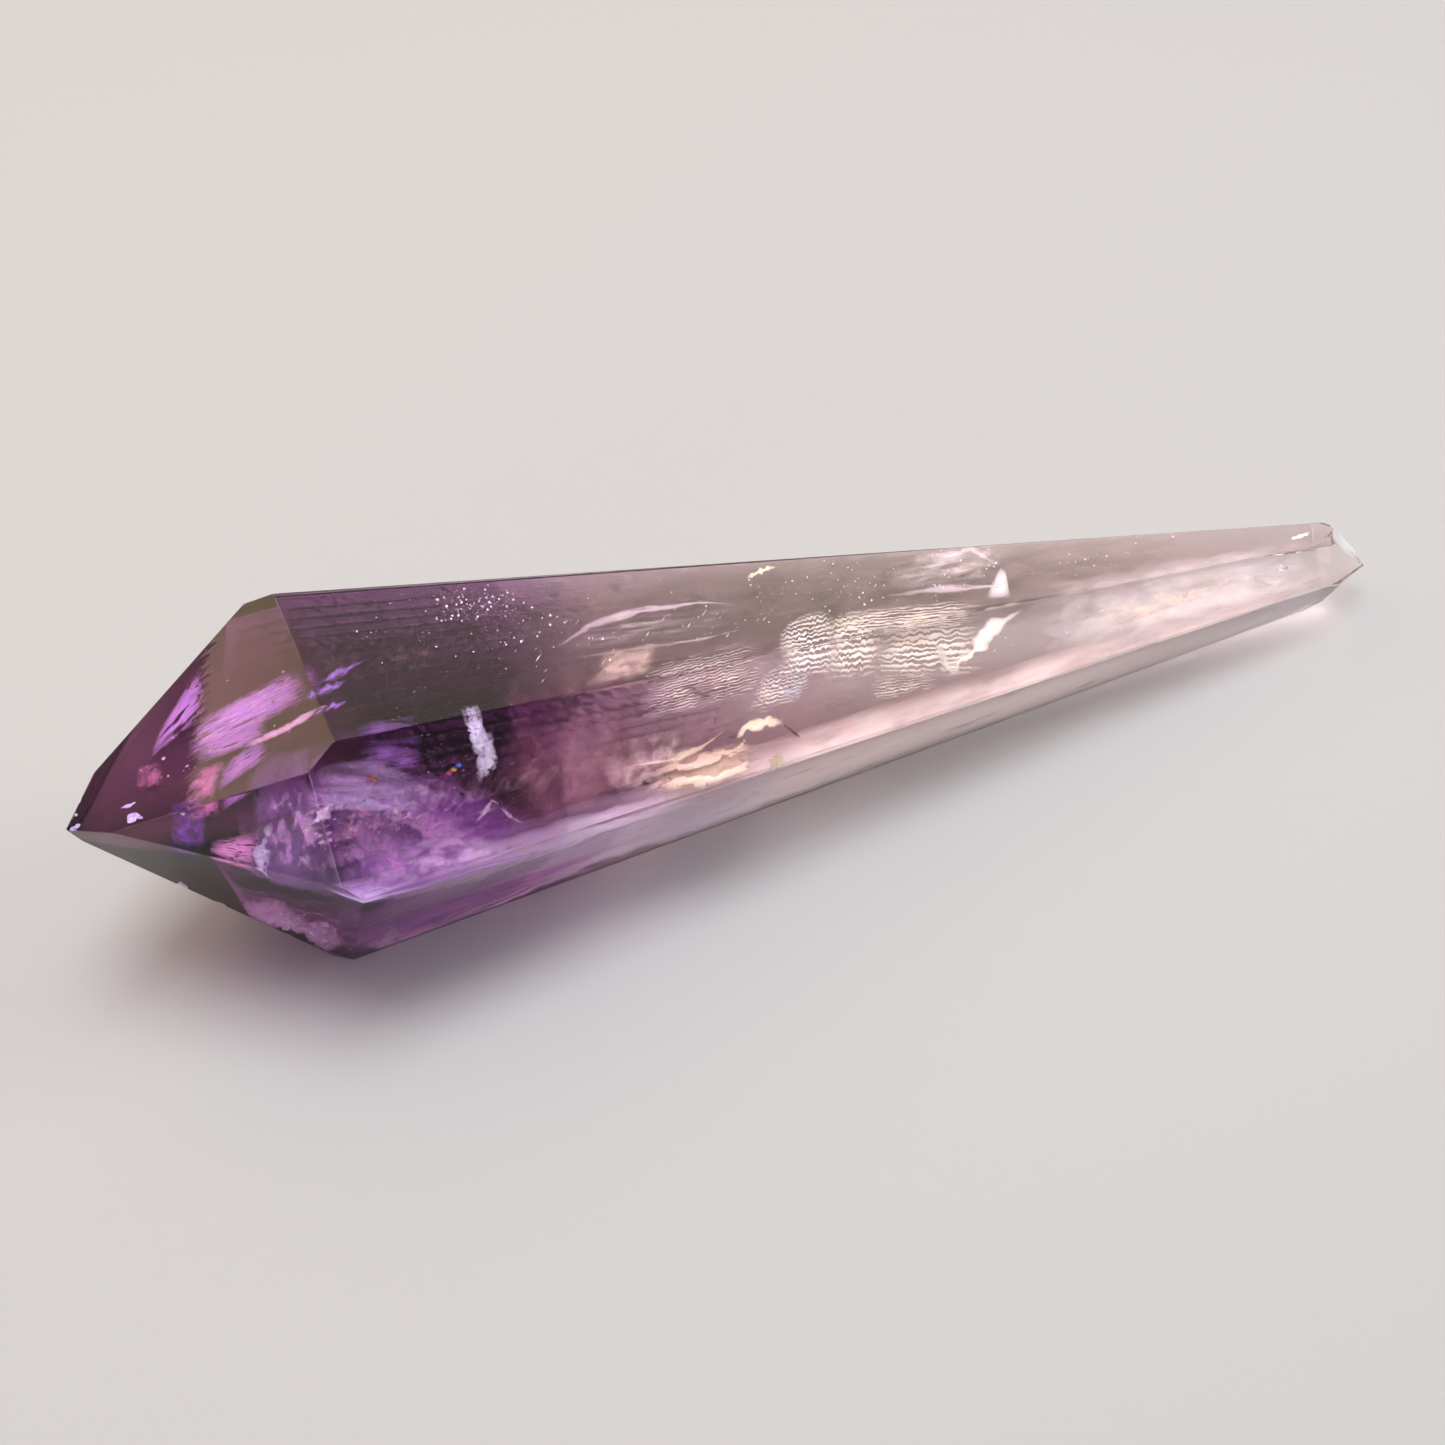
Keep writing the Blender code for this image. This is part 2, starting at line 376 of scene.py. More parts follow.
def ribbon(name, width, depth, material, seed, ragged=0.4, rise=0.0, columns=48, rumple=0.0003):
    """A narrow sheet along the photo pixels of its place, tapering at both ends.

    Side(u) = line(u) +/- width / 2 * (sin(pi u) + BLUNT)^0.5 * (1 + ragged * waves(u)) across the line,
    in pixels. Its upper side lies deeper than its lower one by rise.
    """
    rng = np.random.default_rng(seed)
    path = np.array(PLACES[name], float)
    share = np.linspace(0, 1, len(path))
    u = np.linspace(0, 1, columns)
    line = np.stack((np.interp(u, share, path[:, 0]), np.interp(u, share, path[:, 1])), axis=-1)
    along = np.gradient(line, axis=0)
    along /= np.linalg.norm(along, axis=1, keepdims=True)
    across = np.stack((-along[:, 1], along[:, 0]), axis=-1)
    taper = np.sqrt(np.sin(np.pi * u) + BLUNT)
    half = width / 2 * taper * (1 + ragged * waves(rng, 4 * u, 0 * u, FINE_WAVES))
    sway = width * SWAY * ragged * waves(rng, 3 * u, 0 * u + 1, FINE_WAVES)
    v = np.linspace(-1, 1, RIBBON_ROWS)[:, None]
    pixel = line[None] + (v * half[None] + sway[None])[..., None] * across[None]
    down = depth + rise * (1 - v) / 2 + rumple * waves(rng, 2 * u, v)
    facet = facet_at(*pixel.mean(axis=(0, 1)))
    points = seen(pixel[..., 0], pixel[..., 1], np.maximum(down, 2 * SKIN), facet)
    return new_piece(name, grid_mesh(name, points), material)


def nick_and_highlight(name, width, depth, material, seed, columns=16):
    """A short ragged mark just under the skin, used for chip bruises and for painted glints and highlights.
    """
    return ribbon(name, width, depth, material, seed, ragged=0.8, columns=columns, rumple=0.0001)


def glare_film(name, material, rows=6, columns=16):
    """A thin film of painted glare that lies a hair above the facet seen at the four photo pixels of its
    place.

    Points are set SKIN inside every facet, then lifted by SKIN + HAIR along this facet's normal.
    """
    u, v = np.meshgrid(np.linspace(0, 1, columns), np.linspace(0, 1, rows))
    pixel = between(PLACES[name], u, v)
    facet = facet_at(*pixel.mean(axis=(0, 1)))
    points = seen(pixel[..., 0], pixel[..., 1], 0 * u, facet) + (SKIN + HAIR) * FACET_NORMALS[facet]
    return new_piece(name, grid_mesh(name, points), material)


def specks(name, count, size, depth, material, seed, stretch=1.0, lean=0.0):
    """Many tiny four-cornered flecks as one mesh, scattered over the four photo pixels of its place.

    Fleck corner k = place + radius * random(0.4 to 1) * (cos, sin)(k * 90 degrees + turn), stretched
    along the lean, with radius = size * (0.25 + 0.75 * random^3). Places gather towards the middle by
    a beta spread, and depth is evenly random between its two values.
    """
    rng = np.random.default_rng(seed)
    middle = between(PLACES[name], rng.beta(GATHER, GATHER, count), rng.beta(GATHER, GATHER, count))
    radius = size * (0.25 + 0.75 * rng.random(count) ** 3)
    turn = rng.uniform(0, 2 * np.pi, count) * (1.0 if stretch == 1.0 else STREAK_TURN)
    k = np.arange(4)
    angle = k * np.pi / 2 + turn[:, None]
    reach = radius[:, None] * rng.uniform(0.4, 1.0, (count, 4))
    east, north = stretch * reach * np.cos(angle), reach * np.sin(angle)
    cos_lean, sin_lean = math.cos(math.radians(lean)), math.sin(math.radians(lean))
    px = middle[:, :1] + east * cos_lean - north * sin_lean
    py = middle[:, 1:] + east * sin_lean + north * cos_lean
    down = rng.uniform(depth[0], depth[1], count)[:, None] + rng.normal(0, FLECK_RUMPLE, (count, 4))
    facet = facet_at(px.mean(), py.mean())
    points = seen(px, py, np.maximum(down, SKIN), facet)
    mesh = bpy.data.meshes.new(name)
    faces = np.arange(count * 4).reshape(-1, 4)
    mesh.from_pydata(points.reshape(-1, 3).tolist(), [], faces.tolist())
    mesh.update()
    return new_piece(name, mesh, material)


# Nodes and materials

STONE_TINTS = ((0.2, (0.78, 0.55, 0.85)), (0.5, (0.97, 0.90, 0.91)))     # violet, then pale rose
STONE_LEFT = (0.855, 0.775, 0.795)   # colour left after light has crossed the stone for a while
STONE_DENSITY = 72.0
LAMP_TINT = (0.94, 0.92, 0.92)
SCRATCH_STRETCH = (60.0, 900.0, 900.0)
SCRATCH_DEPTH = 0.000012
SCRATCH_STRENGTH = 0.35
VEIL_RELIEF = 0.0002
FURROW = (0.30, 0.22, 0.22)          # between the bright ripples
RIM_POWER = 2.5
TONE_SHIFT = (7.1, 3.3, 9.9)
SEED_SHIFT = (5.3, 3.1, 1.7)
CLEAR = (1.0, 1.0, 1.0)
WHITE = (0.95, 0.95, 0.97)
CREAM = (0.95, 0.85, 0.72)
VIOLET = (0.35, 0.10, 0.75)
PALE_LILAC = (0.80, 0.72, 0.92)
# Colours of painted rainbow glints, for a spot of iridescence
RAINBOW = {"pink": (0.95, 0.2, 0.6), "yellow": (0.9, 0.8, 0.1), "blue": (0.15, 0.35, 0.95)}


def new_material(name):
    """A node material with its Principled shader."""
    material = bpy.data.materials.new(name)
    material.use_nodes = True
    return material, material.node_tree, material.node_tree.nodes["Principled BSDF"]


def put(tree, socket, value):
    """Links a socket to an output, or sets it to a plain value."""
    if isinstance(value, bpy.types.NodeSocket):
        tree.links.new(value, socket)
    else:
        socket.default_value = value


def calc(tree, operation, *terms, clamp=False):
    """A Math node over outputs or plain numbers."""
    made = tree.nodes.new("ShaderNodeMath")
    made.operation = operation
    made.use_clamp = clamp
    for socket, term in zip(made.inputs, terms):
        put(tree, socket, term)
    return made.outputs[0]


def vector_calc(tree, operation, *terms):
    """A Vector Math node over outputs or plain vectors."""
    made = tree.nodes.new("ShaderNodeVectorMath")
    made.operation = operation
    for socket, term in zip(made.inputs, terms):
        put(tree, socket, term)
    return made.outputs[0]


def noise(tree, vector, scale, detail=3.0, distortion=0.0):
    """A Noise Texture's value over a vector."""
    made = tree.nodes.new("ShaderNodeTexNoise")
    put(tree, made.inputs["Vector"], vector)
    put(tree, made.inputs["Scale"], scale)
    made.inputs["Detail"].default_value = detail
    made.inputs["Distortion"].default_value = distortion
    return made.outputs["Fac"]


def mix_colour(tree, share, first, second):
    """A colour between two, by a share."""
    made = tree.nodes.new("ShaderNodeMix")
    made.data_type = "RGBA"
    put(tree, made.inputs[0], share)
    for socket, colour in ((made.inputs[6], first), (made.inputs[7], second)):
        put(tree, socket, colour if isinstance(colour, bpy.types.NodeSocket) else (*colour, 1.0))
    return made.outputs[2]


def bump(tree, shader, height, distance, strength=1.0):
    """Feeds a height to the shader's normal through a Bump node."""
    made = tree.nodes.new("ShaderNodeBump")
    made.inputs["Strength"].default_value = strength
    made.inputs["Distance"].default_value = distance
    tree.links.new(height, made.inputs["Height"])
    tree.links.new(made.outputs[0], shader.inputs["Normal"])


def new_group(name, inputs, outputs):
    """A shader node group with float or vector inputs and float outputs, and its two end nodes."""
    group = bpy.data.node_groups.new(name, "ShaderNodeTree")
    for label, kind in inputs:
        group.interface.new_socket(label, in_out="INPUT", socket_type=kind)
    for label in outputs:
        group.interface.new_socket(label, in_out="OUTPUT", socket_type="NodeSocketFloat")
    return group, group.nodes.new("NodeGroupInput"), group.nodes.new("NodeGroupOutput")


def torn_mask_group():
    """Cover of a torn sheet: patchy inside, and ragged towards the rim of its UV square.

    Cover = edge * rim * clamp((noise(place) - 1 + fill) * contrast), with
    rim = (1 - |2u - 1|^2.5)(1 - |2v - 1|^2.5) and edge = clamp((rim + (noise2 - 0.5) * torn) * sharp).
    Tone is a third noise, for colour.
    """
    number, direction = "NodeSocketFloat", "NodeSocketVector"
    inputs = (("Place", direction), ("UV", direction), ("Fill", number), ("Contrast", number),
              ("Torn", number), ("Sharp", number))
    group, start, end = new_group("torn_mask", inputs, ("Cover", "Tone"))
    patches = noise(group, start.outputs["Place"], 1.0, 4.0, 0.3)
    tear = noise(group, start.outputs["Place"], 2.3, 5.0, 0.5)
    tone = noise(group, vector_calc(group, "ADD", start.outputs["Place"], TONE_SHIFT), 1.7, 3.0)
    split = group.nodes.new("ShaderNodeSeparateXYZ")
    group.links.new(start.outputs["UV"], split.inputs[0])
    sides = []
    for axis in ("X", "Y"):
        off = calc(group, "ABSOLUTE", calc(group, "MULTIPLY_ADD", split.outputs[axis], 2.0, -1.0))
        sides.append(calc(group, "SUBTRACT", 1.0, calc(group, "POWER", off, RIM_POWER)))
    rim = calc(group, "MULTIPLY", *sides)
    torn = calc(group, "MULTIPLY", calc(group, "SUBTRACT", tear, 0.5), start.outputs["Torn"])
    edge = calc(group, "MULTIPLY", calc(group, "ADD", rim, torn), start.outputs["Sharp"], clamp=True)
    lifted = calc(group, "ADD", calc(group, "SUBTRACT", patches, 1.0), start.outputs["Fill"])
    inner = calc(group, "MULTIPLY", lifted, start.outputs["Contrast"], clamp=True)
    group.links.new(calc(group, "MULTIPLY", calc(group, "MULTIPLY", edge, rim), inner, clamp=True),
                    end.inputs["Cover"])
    group.links.new(tone, end.inputs["Tone"])
    return group


TORN_MASK = torn_mask_group()


def let_lamps_through(tree, shader, tint):
    """Lamplight passes straight through the glass with a tint, so what is inside is lit."""
    path = tree.nodes.new("ShaderNodeLightPath")
    clear = tree.nodes.new("ShaderNodeBsdfTransparent")
    clear.inputs["Color"].default_value = (*tint, 1.0)
    mix = tree.nodes.new("ShaderNodeMixShader")
    tree.links.new(path.outputs["Is Shadow Ray"], mix.inputs[0])
    tree.links.new(shader.outputs[0], mix.inputs[1])
    tree.links.new(clear.outputs[0], mix.inputs[2])
    tree.links.new(mix.outputs[0], tree.nodes["Material Output"].inputs["Surface"])


def absorb(tree, colour, density):
    """Light is taken up evenly all through the body."""
    volume = tree.nodes.new("ShaderNodeVolumeAbsorption")
    volume.inputs["Color"].default_value = (*colour, 1.0)
    volume.inputs["Density"].default_value = density
    tree.links.new(volume.outputs[0], tree.nodes["Material Output"].inputs["Volume"])


def stone_finish():
    """Clear polished quartz, tinted from violet at the broad point to pale rose at the slim one."""
    material, tree, shader = new_material("polished_amethyst")
    shader.inputs["Metallic"].default_value = 0.0
    shader.inputs["IOR"].default_value = QUARTZ_IOR
    shader.inputs["Transmission Weight"].default_value = 1.0
    place = tree.nodes.new("ShaderNodeTexCoord").outputs["Object"]
    split = tree.nodes.new("ShaderNodeSeparateXYZ")
    tree.links.new(place, split.inputs[0])
    along = calc(tree, "MULTIPLY_ADD", split.outputs["X"], 5.5, 0.5)
    cloud = noise(tree, place, 40.0, 3.0)
    along = calc(tree, "ADD", along, calc(tree, "MULTIPLY_ADD", cloud, 0.3, -0.15))
    ramp = tree.nodes.new("ShaderNodeValToRGB")
    for element, (position, tint) in zip(ramp.color_ramp.elements, STONE_TINTS):
        element.position = position
        element.color = (*tint, 1.0)
    tree.links.new(along, ramp.inputs[0])
    tree.links.new(ramp.outputs[0], shader.inputs["Base Color"])
    scratches = noise(tree, vector_calc(tree, "MULTIPLY", place, SCRATCH_STRETCH), 1.0, 4.0)
    smear = calc(tree, "MULTIPLY_ADD", noise(tree, place, 120.0, 4.0), 0.06, -0.015, clamp=True)
    tree.links.new(smear, shader.inputs["Roughness"])
    bump(tree, shader, scratches, SCRATCH_DEPTH, SCRATCH_STRENGTH)
    absorb(tree, STONE_LEFT, STONE_DENSITY)
    let_lamps_through(tree, shader, LAMP_TINT)
    return material


def zone_finish(name, colour, density):
    """A stretch of stone that takes up more light: no surface of its own, only its absorption."""
    material, tree, shader = new_material(name)
    shader.inputs["Base Color"].default_value = (*CLEAR, 1.0)
    shader.inputs["IOR"].default_value = 1.0
    shader.inputs["Roughness"].default_value = 0.0
    shader.inputs["Transmission Weight"].default_value = 1.0
    absorb(tree, colour, density)
    let_lamps_through(tree, shader, CLEAR)
    return material


def veil(name, colours, stretch, fill, contrast, torn=1.0, sharp=3.0, strength=1.0, roughness=0.5,
         ripples=0.0, seed=0.0):
    """A healed fracture: a thin torn film in two colours, with fine ripples if they are asked for.

    Stretch is how often the pattern repeats along and across the sheet. Fill, contrast, torn and
    sharp go to the torn mask, and strength is how much its full cover hides.
    """
    material, tree, shader = new_material(name)
    uv = tree.nodes.new("ShaderNodeTexCoord").outputs["UV"]
    place = vector_calc(tree, "MULTIPLY", uv, (stretch[0], stretch[1], 1.0))
    place = vector_calc(tree, "ADD", place, tuple(seed * shift for shift in SEED_SHIFT))
    mask = tree.nodes.new("ShaderNodeGroup")
    mask.node_tree = TORN_MASK
    for label, value in (("Place", place), ("UV", uv), ("Fill", fill), ("Contrast", contrast),
                         ("Torn", torn), ("Sharp", sharp)):
        put(tree, mask.inputs[label], value)
    share = calc(tree, "MULTIPLY_ADD", mask.outputs["Tone"], 3.0, -1.0, clamp=True)
    colour = mix_colour(tree, share, *colours)
    cover = calc(tree, "MULTIPLY", mask.outputs["Cover"], strength)
    height = mask.outputs["Tone"]
    if ripples:
        wave = tree.nodes.new("ShaderNodeTexWave")
        wave.bands_direction = "Y"
        put(tree, wave.inputs["Vector"], vector_calc(tree, "MULTIPLY", uv, (3.0, 1.0, 1.0)))
        wave.inputs["Scale"].default_value = ripples
        wave.inputs["Distortion"].default_value = 6.0
        wave.inputs["Detail"].default_value = 2.0
        wave.inputs["Detail Scale"].default_value = 1.3
        height = wave.outputs["Fac"]
        gaps = calc(tree, "MULTIPLY_ADD", noise(tree, place, 1.6, 3.0), 5.0, -3.1)
        lines = calc(tree, "ADD", calc(tree, "MULTIPLY", height, 2.4), gaps, clamp=True)
        cover = calc(tree, "MULTIPLY", cover, calc(tree, "MULTIPLY_ADD", lines, 0.75, 0.25))
        colour = mix_colour(tree, lines, FURROW, colour)
    tree.links.new(colour, shader.inputs["Base Color"])
    tree.links.new(cover, shader.inputs["Alpha"])
    shader.inputs["Roughness"].default_value = roughness
    bump(tree, shader, height, VEIL_RELIEF)
    return material


def fleck_finish(name, colour, roughness=0.35):
    """Tiny bright flecks, each a little lighter or darker than the next: painted glints and sparks, and
    also dust, chip bruises and a needle.
    """
    material, tree, shader = new_material(name)
    place = tree.nodes.new("ShaderNodeTexCoord").outputs["Object"]
    shade = noise(tree, place, 900.0, 1.0)
    dark = tuple(0.45 * part for part in colour)
    tree.links.new(mix_colour(tree, calc(tree, "MULTIPLY_ADD", shade, 3.0, -1.0, clamp=True), dark, colour),
                   shader.inputs["Base Color"])
    shader.inputs["Roughness"].default_value = roughness
    return material


# Colour zones

ZONE_INSET = 0.00025
ZONE_START = -0.0885
ZONE_ROWS = 40
ZONE_COLUMNS = 72
ZONE_WAVES = 6
ZONE_LEAST_RADIUS = 0.0001
LEAST_SLOPE = 1e-6                   # a facet that a ray nears more slowly than this is left out
ZONE_OPENING = (0.0, 0.5)            # sizes of the rings that shut its start, as shares of the first one
ZONE_CLOSING = (0.8, 0.5, 0.2, 0.0)  # and its front, as shares of the last one
DOUBLES = 0.00002
AXIS_AT_BROAD_TIP = 0.0232
AXIS_AT_SLIM_TIP = 0.0052

# The violet of the broad end, in overlapping steps: the colour that is left and its density, where
# the front lies along X, how far it leans and ripples, and its seed
ZONES = {
    "violet_zone_deep": ((0.46, 0.04, 0.48), 48.0, -0.034, 0.002, 0.004, 1),
    "violet_zone_middle": ((0.55, 0.22, 0.66), 32.0, -0.025, 0.007, 0.006, 2),
    "rose_zone": ((0.74, 0.48, 0.58), 13.0, -0.010, 0.008, 0.010, 4),
    "blush_zone": ((0.80, 0.54, 0.66), 11.0, 0.006, 0.006, 0.012, 3),
}


def stone_radius(stations, angles, heights):
    """Distance from the axis to the stone's skin at each station along X and angle round it.

    A ray from the axis leaves through the nearest facet ahead of it:
    radius = min over facets of (offset - normal . start) / (normal . direction).
    """
    way = np.stack((np.zeros_like(angles), -np.cos(angles), np.sin(angles)), axis=-1)
    start = np.stack((stations, np.zeros_like(stations), heights), axis=-1)
    slope = way @ FACET_NORMALS.T
    gap = FACET_OFFSETS - start @ FACET_NORMALS.T
    reach = np.where(slope > LEAST_SLOPE, gap / np.maximum(slope, LEAST_SLOPE), np.inf)
    return reach.min(axis=-1)


def axis_heights(stations):
    """Height of the stone's axis above the floor, a straight line between its two points."""
    share = (stations - cad_low.x) / (cad_high.x - cad_low.x)
    return AXIS_AT_BROAD_TIP + (AXIS_AT_SLIM_TIP - AXIS_AT_BROAD_TIP) * share


def make_zone(name, end, lean, ripple, seed, material):
    """A closed body just inside the stone's skin, from near the broad point to a ragged front.

    Point(s, a) = axis(x) + (radius(x, a) - inset) * direction(a), with x = start + s * (front - start)
    and front(a) = end + lean * sin(a) + ripple * sum of sines of a. Rings at each end shut the body.
    """
    rng = np.random.default_rng(seed)
    angles = np.linspace(0, 2 * np.pi, ZONE_COLUMNS, endpoint=False)
    share = np.linspace(0, 1, ZONE_ROWS)[:, None]
    wave = sum(rng.uniform(0.3, 1) / k * np.sin(k * angles + rng.uniform(0, PHASES))
               for k in range(1, ZONE_WAVES + 1))
    front = end + lean * np.sin(angles) + ripple * wave
    x = ZONE_START + share * (front - ZONE_START)[None, :]
    a = np.broadcast_to(angles, x.shape)
    radius = np.maximum(stone_radius(x, a, axis_heights(x)) - ZONE_INSET, ZONE_LEAST_RADIUS)
    skin = np.stack((x, -np.cos(a) * radius, axis_heights(x) + np.sin(a) * radius), axis=-1)
    first, last = skin[0], skin[-1]
    closing = np.array(ZONE_CLOSING)[:, None, None]
    bulge = np.sin(3 * angles + seed)[None, :, None] * np.array((1.0, 0, 0))
    swell = ripple * closing * (1 - closing) * bulge
    caps = last.mean(axis=0) + (last - last.mean(axis=0)) * closing + swell
    opening = first.mean(axis=0) + (first - first.mean(axis=0)) * np.array(ZONE_OPENING)[:, None, None]
    mesh = grid_mesh(name, np.concatenate((opening, skin, caps)), wrap=True)
    close_and_turn_out(mesh)
    return new_piece(name, mesh, material)


def close_and_turn_out(mesh):
    """Merges doubles and turns every face outwards."""
    bm = bmesh.new()
    bm.from_mesh(mesh)
    bmesh.ops.remove_doubles(bm, verts=bm.verts, dist=DOUBLES)
    bmesh.ops.recalc_face_normals(bm, faces=bm.faces)
    bm.to_mesh(mesh)
    bm.free()


def make_zones():
    """The violet of the broad end: four overlapping bodies, so that it thins out in steps."""
    for name, (colour, density, end, lean, ripple, seed) in ZONES.items():
        make_zone(name, end, lean, ripple, seed, zone_finish(name, colour, density))


# What is inside the stone

def make_tip_streaks():
    """Fibrous streaks, painted violet flashes and glints, and a dark reddish film of painted shade seen
    through the broad point's main facet.
    """
    # A dark reddish film: painted shade.
    red_shade = veil("red_painted_shade", ((0.12, 0.05, 0.04), (0.11, 0.03, 0.06)), (3, 4),
                fill=1.15, contrast=2.5, sharp=6, strength=0.9)
    sheet("red_painted_shade", (0.002, 0.012), red_shade, rumple=0.001, grid=(20, 40))
    fibres = veil("pink_fibres", ((1.0, 0.66, 0.90), (0.60, 0.34, 1.0)), (3.5, 15),
                  fill=0.68, contrast=9, torn=4, sharp=4, seed=1)
    sheet("pink_fibres", (0.003, 0.006), fibres, 1, rumple=0.0008)
    sheet("pink_fibres_low", 0.004, fibres, 79, rumple=0.0008)
    line = veil("pink_line", ((0.95, 0.6, 0.7), WHITE), (8, 1), fill=0.8, contrast=6, torn=2, seed=2)
    ribbon("pink_line", 6, 0.004, line, 2, ragged=0.7)
    # The violet streak and the violet flash below it are painted reflections of light off fractures.
    blue = veil("violet_streak", ((0.50, 0.40, 1.0), (1.0, 0.62, 0.88)), (3, 9),
                fill=0.66, contrast=9, torn=4, sharp=4, seed=3)
    sheet("violet_streak", 0.006, blue, 3)
    flash = veil("violet_flash", ((0.70, 0.48, 1.0), (0.90, 0.55, 0.92)), (3, 6),
                 fill=0.66, contrast=7, torn=4, sharp=4, seed=4)
    sheet("violet_patch", 0.004, flash, 4)
    rosy = veil("rose_patch", ((0.90, 0.45, 0.60), (0.70, 0.25, 0.45)), (2.5, 2.5),
                fill=0.66, contrast=3, torn=3, sharp=2, strength=0.75, seed=5)
    sheet("rose_patch", 0.004, rosy, 5)
    wedge = veil("rose_wedge", ((0.98, 0.55, 0.72), (0.8, 0.3, 0.5)), (3, 4),
                 fill=0.66, contrast=5, torn=3, sharp=2, strength=0.85, seed=5.5)
    sheet("rose_wedge", 0.005, wedge, 6)
    dash = veil("violet_dashes", ((0.45, 0.25, 1.0), (0.7, 0.5, 1.0)), (5, 2),
                fill=0.68, contrast=4, torn=2, sharp=4, strength=0.8, seed=6)
    ribbon("violet_dash_high", 8, 0.004, dash, 7, ragged=0.7)
    ribbon("violet_dash_middle", 11, 0.004, dash, 80, ragged=0.7)
    ribbon("violet_dash_low", 6, 0.004, dash, 81, ragged=0.7)
    # Rose-white sparks: painted glints.
    rosy_sparks = fleck_finish("rose_sparks", (0.95, 0.75, 0.8))
    specks("tip_sparks", 60, 2.2, (0.001, 0.008), rosy_sparks, 17, stretch=1.6, lean=-35)
    feather = veil("pink_feather", ((1.0, 0.36, 0.78), (1.0, 0.74, 0.90)), (4, 14),
                   fill=0.64, contrast=9, torn=3, sharp=4, seed=7)
    sheet("pink_feather", 0.003, feather, 8, rumple=0.0006)
    block = veil("violet_block", ((0.42, 0.22, 0.85), VIOLET), (3, 4),
                 fill=0.7, contrast=4, torn=3, strength=0.7, seed=8)
    sheet("violet_block", 0.004, block, 9)
    edge = veil("fracture_edge", ((0.6, 0.70, 0.95), WHITE), (6, 2),
                fill=0.7, contrast=8, torn=2, sharp=4, seed=9)
    ribbon("fracture_edge", 12, 0.002, edge, 10, ragged=0.9)


def make_lilac_patch():
    """The shattered lilac patch behind the corner of the broad point."""
    slate = veil("slate_cloud", ((0.42, 0.40, 0.62), (0.34, 0.20, 0.50)), (3, 3),
                 fill=0.9, contrast=2.6, torn=2, sharp=5, strength=0.8, seed=9.5)
    sheet("slate_cloud", (0.003, 0.008, 0.009, 0.004), slate, 10, rumple=0.0012, grid=(16, 24))
    cloud = veil("lilac_cloud", ((0.84, 0.72, 1.0), (0.55, 0.34, 0.80)), (4, 4),
                 fill=0.85, contrast=3.0, torn=2.5, sharp=5, strength=0.85, seed=10)
    film = veil("blue_film", ((0.62, 0.62, 0.95), (0.85, 0.85, 1.0)), (4, 3),
                fill=0.78, contrast=4, torn=2, sharp=4, strength=0.8, seed=36)
    sheet("blue_film_low", leaning(0.0008, 0.004), film, 82)
    sheet("blue_film_high", leaning(0.002, 0.004), film, 83)
    light = veil("lilac_light", ((0.80, 0.66, 0.98), WHITE), (5, 4),
                 fill=0.62, contrast=5, torn=3, sharp=4, strength=0.5, seed=37)
    sheet("lilac_light", leaning(0.001, 0.004), light, 84)
    sheet("lilac_cloud_right", (0.002, 0.010, 0.012, 0.003), cloud, 11, rumple=0.0015, grid=(24, 48))
    crumbs = veil("lilac_crumbs", (PALE_LILAC, (0.80, 0.50, 0.90)), (6, 5),
                  fill=0.52, contrast=8, torn=1.6, seed=11)
    sheet("lilac_crumbs_left", 0.003, crumbs, 12, rumple=0.0012, grid=(16, 24))
    sheet("lilac_crumbs_right", (0.0015, 0.007, 0.008, 0.002), crumbs, 12, rumple=0.0012, grid=(24, 48))
    blush = veil("pink_crumbs", ((1.0, 0.40, 0.75), (0.95, 0.60, 0.80)), (4, 3),
                 fill=0.5, contrast=7, torn=2, strength=0.9, seed=12)
    sheet("pink_crumbs", 0.003, blush, 13, rumple=0.001, grid=(16, 32))
    swirl = veil("lilac_swirl", ((0.62, 0.48, 0.85), (0.45, 0.30, 0.70)), (1.5, 6),
                 fill=0.62, contrast=6, torn=2, strength=0.85, seed=13)
    sheet("lilac_swirl", 0.006, swirl, 14, rumple=0.0015)
    mist = veil("grey_mist", ((0.55, 0.58, 0.72), (0.62, 0.55, 0.75)), (2, 2),
                fill=0.75, contrast=3, torn=2, strength=0.6, seed=13.5)
    sheet("grey_mist", 0.003, mist, 15, rumple=0.0008)


def make_glints():
    """Painted sparks of light, white strokes and cracks, a flake and painted coloured glints round the
    lilac patch.
    """
    # White sparks: painted glints.
    sparks = fleck_finish("white_sparks", WHITE, 0.25)
    specks("white_sparks", 110, 3.4, (0.002, 0.006), sparks, 15, stretch=1.8, lean=-25)
    specks("deep_sparks", 60, 2.2, (0.003, 0.02), sparks, 16, stretch=1.6, lean=-15)
    stroke = veil("white_stroke", (WHITE, PALE_LILAC), (4, 1.5), fill=0.8, contrast=8, torn=2, seed=14)
    ribbon("white_stroke", 8, 0.002, stroke, 18, ragged=0.9)
    ribbon("white_stroke_high", 8, 0.002, stroke, 23, ragged=0.9)
    crack = veil("white_crack", (WHITE, PALE_LILAC), (6, 1), fill=0.85, contrast=7, torn=2, seed=15)
    ribbon("white_crack", 5, 0.003, crack, 19, ragged=0.8)
    ribbon("white_crack_right", 4, 0.003, crack, 24, ragged=0.8)
    flake = veil("white_flake", (WHITE, (0.60, 0.74, 0.90)), (3, 6),
                 fill=0.68, contrast=10, torn=4, sharp=5, roughness=0.3, seed=16)
    sheet("white_flake_high", leaning(0.0006, 0.003), flake, 20)
    sheet("white_flake_low", leaning(0.0006, 0.003), flake, 85)
    # Painted glints: one orange, and three in rainbow colours.
    ribbon("orange_glint", 4, 0.003, fleck_finish("orange_glint", (1.0, 0.45, 0.15)), 21)
    for hue, tint in RAINBOW.items():
        ribbon(f"rainbow_{hue}", 4, 0.003, fleck_finish(f"rainbow_{hue}", tint), 22)


